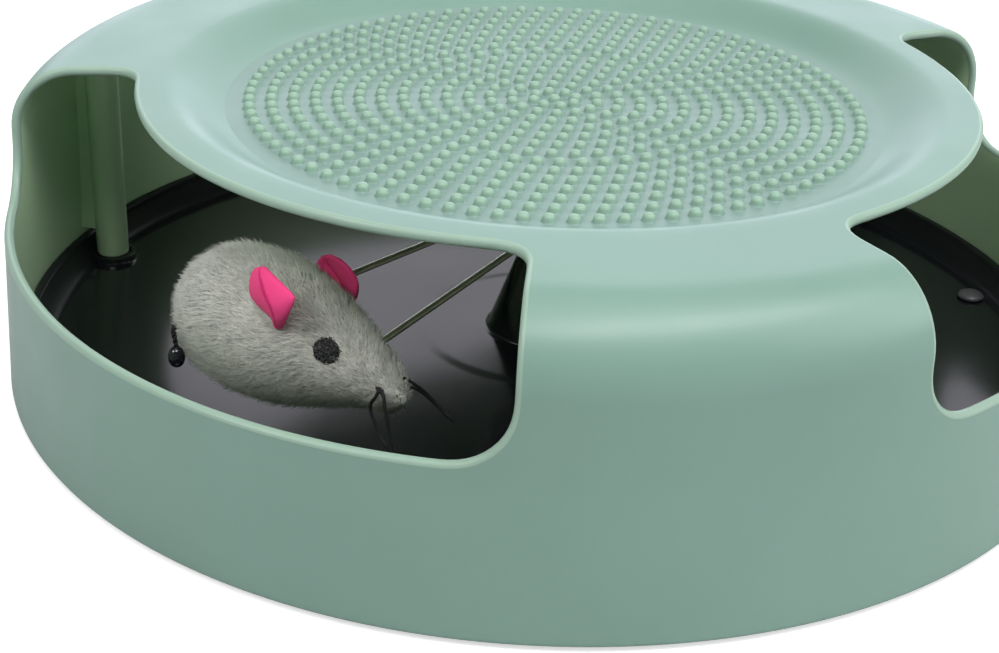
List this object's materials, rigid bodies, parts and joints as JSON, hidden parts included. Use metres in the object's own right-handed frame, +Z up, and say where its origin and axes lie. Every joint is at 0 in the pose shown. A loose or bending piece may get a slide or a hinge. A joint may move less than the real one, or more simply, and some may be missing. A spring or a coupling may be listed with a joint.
{
  "type": "round cat motion toy",
  "caption": "Round moulded drum toy for a cat, with side windows for the paw, a studded pad on the roof and a plush mouse on steel rods that turns about a central axle.",
  "frame": {"origin": "centre of the drum on the floor, at the underside of the rubber feet", "axes": "+Z up along the axle; +X to the right and +Y away from a viewer who sees the mouse in the left front window"},
  "size_m": [0.25, 0.25, 0.0667],
  "materials": {
    "green_plastic": "satin moulded plastic",
    "green_pad": "satin soft plastic",
    "black_tray": "glossy",
    "black_plastic": "glossy",
    "steel": "bright zinc",
    "rod_steel": "drawn wire",
    "foot_rubber": "matte",
    "grey_plush": "short pile plush",
    "pink_felt": "felt",
    "black_thread": "waxed thread",
    "bead_plastic": "glossy"
  },
  "bodies": {
    "base": {"housing": "green_plastic", "massage_pad": "green_pad", "base_tray": "black_tray", "housing_screw_1": "steel", "housing_screw_2": "steel", "housing_screw_3": "steel", "rubber_foot_1": "foot_rubber", "rubber_foot_2": "foot_rubber", "rubber_foot_3": "foot_rubber", "axle_pin": "steel", "thrust_washer": "steel", "axle_clip": "steel"},
    "rotor": {"rotor_hub": "black_plastic", "hub_cap": "black_plastic", "wire_front": "rod_steel", "wire_rear": "rod_steel", "mouse_body": "grey_plush", "ear_near": "pink_felt", "ear_far": "pink_felt", "whisker_near": "black_thread", "whisker_far": "black_thread", "tail_cord": "black_thread", "tail_bead": "bead_plastic"}
  },
  "joints": [
    {"name": "rotor_spin", "type": "hinge", "parent": "base", "child": "rotor", "pos_m": [0, 0, 0.034], "axis": [0, 0, 1], "continuous": true}
  ]
}
